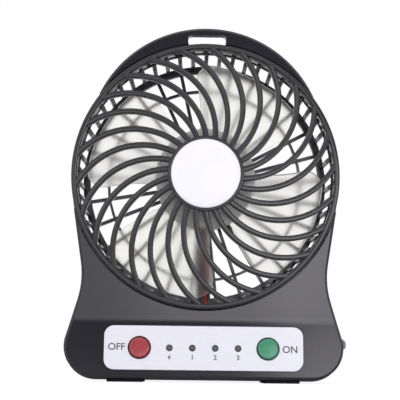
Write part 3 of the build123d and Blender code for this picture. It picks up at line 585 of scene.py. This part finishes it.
# %% Ring of bars and flange
BAR_COUNT = 58
FLANGE = ((51.5, 5.5, 0.1), (51.5, 7.1, 0), (52.6, 7.1, 0), (52.6, 5.5, 0.1))
step = 2 * math.pi / BAR_COUNT
first = Matrix.Rotation(math.pi + step, 3, "Z")
bmesh.ops.rotate(bars, cent=(0, 0, 0), matrix=first, verts=bars.verts)
bmesh.ops.spin(
    bars, geom=bars.verts[:] + bars.edges[:] + bars.faces[:], cent=(0, 0, 0), axis=(0, 0, 1),
    angle=step * (BAR_COUNT - 2), steps=BAR_COUNT - 2, use_duplicate=True,
)
absorb(bars, lathe(FLANGE, steps=160, closed=True))
piece = settle(put(bars, fan_front), "basket_wall", "fan_body", "guard_plastic")
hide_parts("guard_cage")
print("basket wall", len(piece.data.polygons), "faces")

# %% [markdown]
# ## The swirl grille
#
# The grille is one moulding: a round rim, a hub with a thin bezel, and 26 curved ribs that sink
# a little from the hub to the rim. Each rib could be a swept curve, but an arc is just a turn about
# its own centre, so a rounded cross-section is spun along it, sinking a little at every step. A
# second spin with copies lays out all the ribs. The rim and the hub are turned profiles.

# %% Grille rim and hub
RIM = ((51.5, 9.5, 0), (51.5, 13.7, 0.75), (53.8, 13.7, 0.9), (53.8, 9.5, 0))
HUB = (
    (0, 14.6, 0), (15.2, 14.6, 0.5), (15.2, 18.0, 0.55), (13.95, 18.0, 0.35), (13.95, 17.1, 0),
    (0, 17.1, 0),
)
grille = lathe(RIM, steps=160, closed=True)
absorb(grille, lathe(HUB, steps=96))
print("rim and hub", len(grille.faces), "faces")

# %% One rib
RIB_WIDE, RIB_DEEP, RIB_EASE = 2.2, 3.2, 0.6
RIB_CENTRE, RIB_ARC = Vector((10.38, 29.549, 0)), 29.94
RIB_START, RIB_TURN, RIB_STEPS = math.radians(-82.3), math.radians(89.45), 20
RIB_AT_HUB, RIB_AT_RIM = 15.9, 11.9
rib = bmesh.new()
section = bmesh.ops.create_grid(rib, x_segments=1, y_segments=1, size=0.5)["verts"]
bmesh.ops.scale(rib, vec=(RIB_WIDE, RIB_DEEP, 1), verts=section)
bmesh.ops.bevel(
    rib, geom=section, offset=RIB_EASE, offset_type="OFFSET", segments=4, profile=0.5,
    affect="VERTICES", material=-1,
)
outwards, local_up = Vector((math.cos(RIB_START), math.sin(RIB_START), 0)), Vector((0, 0, 1))
root = Matrix.Translation(RIB_CENTRE + outwards * RIB_ARC + local_up * RIB_AT_HUB)
upright = Matrix((outwards, local_up, outwards.cross(local_up))).transposed().to_4x4()
bmesh.ops.transform(rib, matrix=root @ upright, verts=rib.verts)
bmesh.ops.spin(
    rib, geom=rib.faces[:] + rib.edges[:] + rib.verts[:], cent=RIB_CENTRE, axis=(0, 0, 1),
    angle=RIB_TURN, steps=RIB_STEPS, dvec=(0, 0, (RIB_AT_RIM - RIB_AT_HUB) / RIB_STEPS),
)
print("one rib", len(rib.faces), "faces")

# %% All ribs
RIB_COUNT, RIB_PHASE = 26, math.radians(-6.8)
bmesh.ops.spin(
    rib, geom=rib.verts[:] + rib.edges[:] + rib.faces[:], cent=(0, 0, 0), axis=(0, 0, 1),
    angle=2 * math.pi * (1 - 1 / RIB_COUNT), steps=RIB_COUNT - 1, use_duplicate=True,
)
bmesh.ops.rotate(rib, cent=(0, 0, 0), matrix=Matrix.Rotation(RIB_PHASE, 3, "Z"), verts=rib.verts)
absorb(grille, rib)
piece = settle(put(grille, fan_front), "swirl_grille", "fan_body", "guard_plastic")
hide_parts("front_grille")
print("grille", len(piece.data.polygons), "faces")

# %% [markdown]
# ## The hub's cap
#
# A thin white disc closes the hub. A flat one would mirror a single spot of the room, and look cut
# from paper. The real one is slightly domed, so its profile is too, and its edge is eased where it
# drops into the bezel.

# %% Hub cap
CAP = (
    (0, 18.5, 0), (5.0, 18.43, 0), (9.5, 18.2, 0), (12.2, 17.99, 0), (13.85, 17.75, 0.25),
    (13.85, 17.15, 0), (0, 17.15, 0),
)
piece = settle(put(lathe(CAP, steps=96), fan_front), "hub_cap", "fan_body", "badge_plastic")
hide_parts("hub_badge")
print("cap", len(piece.data.polygons), "faces")

# %% [markdown]
# ## Push buttons and lamps
#
# Each button is a round cap with a crowned top, and a flange behind the face that keeps it from
# falling out. The panel's lamps are rods of smoked plastic whose tips are polished to a slight
# dome. All of them are turned shapes that stand on the leaning panel, so one function stands them
# there, and their places along the panel are all that differs.

# %% Buttons and lamps
BUTTON = (
    (0, 0.9, 0), (2.2, 0.885, 0), (3.5, 0.83, 0), (4.0, 0.76, 0.35), (4.0, -2.1, 0), (4.6, -2.1, 0),
    (4.6, -2.9, 0), (0, -2.9, 0),
)
LAMP = (
    (0, 0.05, 0), (0.8, 0.0, 0), (1.25, -0.25, 0.15), (1.25, -5.75, 0), (1.5, -5.75, 0),
    (1.5, -7.0, 0), (0, -7.0, 0),
)
LAMPS = ("charging_lamp", "speed_lamp_1", "speed_lamp_2", "speed_lamp_3")
BUTTON_X, LAMP_PITCH = 25.3, 9.0
ROW_MIDDLE = (len(LAMPS) - 1) / 2


def on_panel(x, y=0.0, z=0.0):
    """The place on the panel's face at these millimetres from its middle."""
    return panel_face @ Matrix.Translation(Vector((x, y, z)) * MM)


for name, x, slot in (("off_button", -BUTTON_X, "red_plastic"), ("on_button", BUTTON_X, "green_plastic")):
    piece = settle(put(lathe(BUTTON, steps=64), on_panel(x)), name + "_cap", name, slot)
    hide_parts(name)
for i, name in enumerate(LAMPS):
    x = LAMP_PITCH * (i - ROW_MIDDLE)
    piece = settle(put(lathe(LAMP, steps=32), on_panel(x)), name + "_pipe", "fan_body", "lamp_plastic")
    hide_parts(name)
print("2 buttons and", len(LAMPS), "lamps")

# %% [markdown]
# ## Printed signs
#
# The panel says OFF and ON beside the buttons, and numbers the speed lamps. The signs are
# screen-printed: flat ink a few hundredths of a millimetre thick, which spreads a little past the
# letters' edges. Ink could be a colour in the panel's material, but a mesh of its own stays sharp
# from any distance. A text object gives the outlines, and is made a mesh, with a little thickness,
# before it is laid on the panel. The charging lamp gets a small bolt, drawn as a plain outline and
# given the same thickness.

# %% Signs on the panel
INK, INK_SPREAD, INK_BASE = 0.03, 0.045, -0.1
CAPITALS = 0.7  # the height of this font's capitals, as a share of its size
BESIDE_LAMP, LAMP_SIGN_HIGH, BUTTON_SIGN_HIGH = -3.7, 1.9, 2.7
# word, x and y of its middle, height of its capitals
signs = (
    ("OFF", -34.3, 0.15, BUTTON_SIGN_HIGH), ("ON", 34.0, -0.3, BUTTON_SIGN_HIGH),
    ("1", -4.5, BESIDE_LAMP, LAMP_SIGN_HIGH), ("2", 4.5, BESIDE_LAMP, LAMP_SIGN_HIGH),
    ("3", 13.5, BESIDE_LAMP, LAMP_SIGN_HIGH),
)
for word, x, y, high in signs:
    text = bpy.data.curves.new("sign_" + word, "FONT")
    text.body, text.align_x, text.align_y = word, "CENTER", "CENTER"
    text.size, text.extrude, text.offset, text.resolution_u = high / CAPITALS, INK, INK_SPREAD, 6
    letters = bpy.data.objects.new("sign_text", text)
    bpy.context.scene.collection.objects.link(letters)
    bpy.context.view_layer.update()
    outline = bpy.data.meshes.new_from_object(letters)
    shape = bmesh.new()
    shape.from_mesh(outline)
    bmesh.ops.remove_doubles(shape, verts=shape.verts, dist=MERGE_DRAWN)
    wide, tall = (
        max(v.co[i] for v in shape.verts) - min(v.co[i] for v in shape.verts) for i in (0, 1)
    )
    bpy.data.objects.remove(letters)
    bpy.data.curves.remove(text)
    bpy.data.meshes.remove(outline)
    settle(put(shape, on_panel(x, y, INK_BASE)), "sign_" + word, "fan_body", "sign_ink")
    print(word, "is", round(wide, 2), "by", round(tall, 2), "mm")

# %% Bolt beside the charging lamp
BOLT = ((0.3, 1.25), (-0.72, -0.16), (-0.1, -0.16), (-0.3, -1.25), (0.72, 0.16), (0.1, 0.16))
BOLT_X = -13.5
bolt = bmesh.new()
back = bolt.faces.new([bolt.verts.new((x, y, -INK)) for x, y in BOLT])
raised = bmesh.ops.extrude_face_region(bolt, geom=[back])["geom"]
front = [v for v in raised if isinstance(v, bmesh.types.BMVert)]
bmesh.ops.translate(bolt, vec=(0, 0, 2 * INK), verts=front)
settle(put(bolt, on_panel(BOLT_X, BESIDE_LAMP, INK_BASE)), "sign_bolt", "fan_body", "sign_ink")
print("the bolt is", BOLT[0][1] - BOLT[3][1], "mm high")

# %% [markdown]
# ## The side lamp
#
# A round lamp looks out of the right side of the base. Its body is a clear rod with a domed tip, as
# any 5 mm lamp has. It is turned as the other lamps are, but about a line that runs to the right,
# so it only needs a local frame of its own.

# %% Side lamp
SIDE_LAMP = (
    (0, 56.6, 0), (1.0, 56.4, 0), (1.8, 55.85, 0), (2.3, 55.05, 0), (2.5, 54.1, 0), (2.5, 50.3, 0),
    (0, 50.3, 0),
)
low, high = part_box("side_lamp")
middle = (low + high) / 2
right_side = local_frame((0, middle.y / MM, middle.z / MM), (0, 0, 1), (0, 1, 0), (1, 0, 0))
lens_shape = put(lathe(SIDE_LAMP, steps=48), right_side)
piece = settle(lens_shape, "side_lamp_lens", "fan_body", "side_lamp_plastic")
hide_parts("side_lamp")
print("side lamp from", round(low.x / MM, 1), "to", round(high.x / MM, 1), "mm")

# %% [markdown]
# ## Screws
#
# Pan-head screws hold the housings together, and smaller ones hold the motor's clamp. Each screw is
# turned, and a cross recess is sunk in its top. A boolean could cut the recess, but it leaves thin
# stray faces, so a plus-shaped face is bridged to the head's round rim and pushed down instead. Its
# arms and its depth follow the size of the head.

# %% One screw with a cross recess
TOP_SHARE, ARM_SHARE, HALF_SHARE, SUNK_SHARE = 0.8, 0.55, 0.14, 0.6


def screw(head_r, head_high, shank_r, long):
    """A screw whose head stands on local Z = 0 and whose shank goes down, in millimetres."""
    shape = lathe(
        (
            (head_r * TOP_SHARE, head_high, 0), (head_r, head_high * 0.5, 0.1), (head_r, 0, 0),
            (shank_r, 0, 0), (shank_r, -long, 0.2), (0, -long, 0),
        ),
        steps=24,
    )
    rim = [e for e in shape.edges if e.is_boundary]
    arm, half = head_r * ARM_SHARE, head_r * HALF_SHARE
    plus = [(half, half), (half, arm), (-half, arm), (-half, half), (-arm, half), (-arm, -half)]
    plus += [(-x, -y) for x, y in plus]
    hole = shape.faces.new([shape.verts.new((x, y, head_high)) for x, y in plus])
    bmesh.ops.bridge_loops(shape, edges=rim + list(hole.edges))
    sunk = bmesh.ops.extrude_face_region(shape, geom=[hole])["geom"]
    recess_floor = [v for v in sunk if isinstance(v, bmesh.types.BMVert)]
    bmesh.ops.delete(shape, geom=[hole], context="FACES_ONLY")
    bmesh.ops.translate(shape, vec=(0, 0, -head_high * SUNK_SHARE), verts=recess_floor)
    return shape


print("the screw is ready")

# %% Screws in their places
SEAT_DEPTH = 0.5
case_places = [(x, SEAT_DEPTH, z) for half, z in ((47.0, 8.0), (44.5, 25.6)) for x in (-half, half)]
motor_places = [(x, SEAT_DEPTH, AXIS_HEIGHT) for x in (-15.4, 15.4)]
# node: radius and height of the head, radius and length of the shank, places, way that it looks
screw_sets = {
    "case_screws": (2.3, 1.6, 1.1, 9.0, case_places, (0, 1, 0)),
    "motor_screws": (1.6, 1.0, 0.8, 7.5, motor_places, (0, -1, 0)),
}
for node, (head_r, head_high, shank_r, long, places, out) in screw_sets.items():
    joined = bmesh.new()
    side = Vector((1, 0, 0))
    for place in places:
        stand = local_frame(place, side, Vector(out).cross(side), out)
        absorb(joined, put(screw(head_r, head_high, shank_r, long), stand))
    piece = settle(joined, node + "_turned", "fan_body", "steel")
    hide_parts(node)
    print(node, len(places), "screws")

# %% [markdown]
# ## The table
#
# The fan stands on a matt white table. Part of what the camera sees of it is a white glow, so that
# it is as pale as the room behind it and still keeps the fan's soft shadow. The glow is only there
# for the camera: it adds no light to the fan.

# %% Matt white finish with a glow
PAPER_GRAIN = 4.0
GLOW_SHARE, GLOW_LEVEL = 0.7, 1.2
material, tree = new_finish("table_matt_white")
ray = add_node(tree, "ShaderNodeLightPath")
place = add_node(tree, "ShaderNodeTexCoord").outputs["Object"]
fibre = add_node(tree, "ShaderNodeTexNoise", {"Scale": 1000 / PAPER_GRAIN}, {"Vector": place})
paper = add_node(
    tree, "ShaderNodeMix", {"data_type": "RGBA", 6: linear("#f0f0f0"), 7: linear("#f4f4f4")},
    {0: fibre.outputs[0]},
)
matt = add_node(tree, "ShaderNodeBsdfDiffuse", links={"Color": paper.outputs[2]})
glow = add_node(tree, "ShaderNodeEmission", {"Color": linear("#ffffff"), "Strength": GLOW_LEVEL})
share = add_node(
    tree, "ShaderNodeMapRange", {"To Max": GLOW_SHARE}, {"Value": ray.outputs["Is Camera Ray"]}
)
mix = add_node(
    tree, "ShaderNodeMixShader", links={0: share.outputs[0], 1: matt.outputs[0], 2: glow.outputs[0]}
)
add_node(tree, "ShaderNodeOutputMaterial", links={"Surface": mix.outputs[0]})
print(material.name, "for the table")

# %% Table top
TABLE_HALF = 6.0
table_top = bmesh.new()
bmesh.ops.create_grid(table_top, x_segments=1, y_segments=1, size=TABLE_HALF)
mesh = bpy.data.meshes.new("table_top")
table_top.to_mesh(mesh)
table_top.free()
mesh.materials.append(material)
floor = bpy.data.objects.new("table_top", mesh)
bpy.context.scene.collection.objects.link(floor)
print("table top", 2 * TABLE_HALF, "m wide")

# %% [markdown]
# ## The room
#
# The world is white where the camera, or light that went through a blade, looks at it. Glossy black
# plastic shows the room that it mirrors, and a studio is dark behind the camera, so for mirrored
# light the world fades from white behind the fan to a dark grey in front of it. Everything else gets
# a plain grey light from all sides.

# %% World
SEEN, AROUND = 1.0, 0.52
DARK_FRONT, WHITE_BACK = 0.15, 1.0
FADE_START, FADE_END = -0.8, 0.4
world = bpy.data.worlds.new("white_studio")
bpy.context.scene.world = world
world.use_nodes = True
tree = world.node_tree
tree.nodes.clear()
ray = add_node(tree, "ShaderNodeLightPath")
seen = add_node(
    tree, "ShaderNodeMath", {"operation": "MAXIMUM"},
    {0: ray.outputs["Is Camera Ray"], 1: ray.outputs["Is Transmission Ray"]},
)
toward = add_node(tree, "ShaderNodeTexCoord").outputs["Generated"]
depth = add_node(tree, "ShaderNodeSeparateXYZ", links={0: toward}).outputs["Y"]
mirrored = add_node(
    tree, "ShaderNodeMapRange",
    {"From Min": FADE_START, "From Max": FADE_END, "To Min": DARK_FRONT, "To Max": WHITE_BACK},
    {"Value": depth},
)
level = add_node(
    tree, "ShaderNodeMix", {"data_type": "FLOAT", 2: AROUND},
    {0: ray.outputs["Is Glossy Ray"], 3: mirrored.outputs[0]},
)
strength = add_node(
    tree, "ShaderNodeMix", {"data_type": "FLOAT", 3: SEEN}, {0: seen.outputs[0], 2: level.outputs[0]}
)
sky = add_node(
    tree, "ShaderNodeBackground", {"Color": linear("#ffffff")}, {"Strength": strength.outputs[0]}
)
add_node(tree, "ShaderNodeOutputWorld", links={"Surface": sky.outputs[0]})
print("world is white where it is seen")

# %% [markdown]
# ## Soft boxes
#
# On black plastic a lamp is seen as its own mirror image, so a lamp is best given by the part of the
# sky that it fills: from one azimuth to another, and from one elevation to another. The upright face
# of the case mirrors a low band, and three boxes side by side fill that band, strongest on the right.
# A fourth lights the ribs on the left, which turn away from the band. The leaning face and the crown
# mirror what is above the band, which is left dark. Higher boxes light the eased edges, the ribs at
# the top and the left side.

# %% Lamps
AIM = Vector((0, 0, 0.045))
# name, azimuths and elevations in degrees, distance in metres, radiance
soft_boxes = (
    ("key_right", 6.0, 48.0, -1.0, 14.0, 1.0, 3.4),
    ("fill_centre", -2.2, 6.0, 0.0, 9.0, 3.0, 3.2),
    ("fill_left", -9.0, -2.2, 0.0, 9.0, 3.0, 1.4),
    ("side_left", -42.0, -9.0, 0.0, 12.0, 3.0, 2.2),
    ("brow", -25.0, 25.0, 22.0, 34.0, 3.0, 2.2),
    ("top_front", -40.0, 40.0, 36.0, 75.0, 3.0, 0.6),
    ("high_left", -80.0, -32.0, 12.0, 50.0, 3.0, 1.2),
)
for name, left, right, low, high, distance, radiance in soft_boxes:
    around, above = math.radians((left + right) / 2), math.radians((low + high) / 2)
    lamp = bpy.data.lights.new(name, "AREA")
    lamp.shape = "RECTANGLE"
    lamp.color = linear("#fbf8ff")[:3]
    lamp.size = 2 * distance * math.tan(math.radians(right - left) / 2) * math.cos(above)
    lamp.size_y = 2 * distance * math.tan(math.radians(high - low) / 2)
    lamp.energy = math.pi * lamp.size * lamp.size_y * radiance
    way = Vector((math.sin(around) * math.cos(above), -math.cos(around) * math.cos(above), math.sin(above)))
    box = bpy.data.objects.new(name, lamp)
    box.location = AIM + way * distance
    box.rotation_euler = way.to_track_quat("Z", "Y").to_euler()
    box.visible_camera = False
    bpy.context.scene.collection.objects.link(box)
bpy.context.scene.view_settings.view_transform = "Standard"
print(len(soft_boxes), "soft boxes")
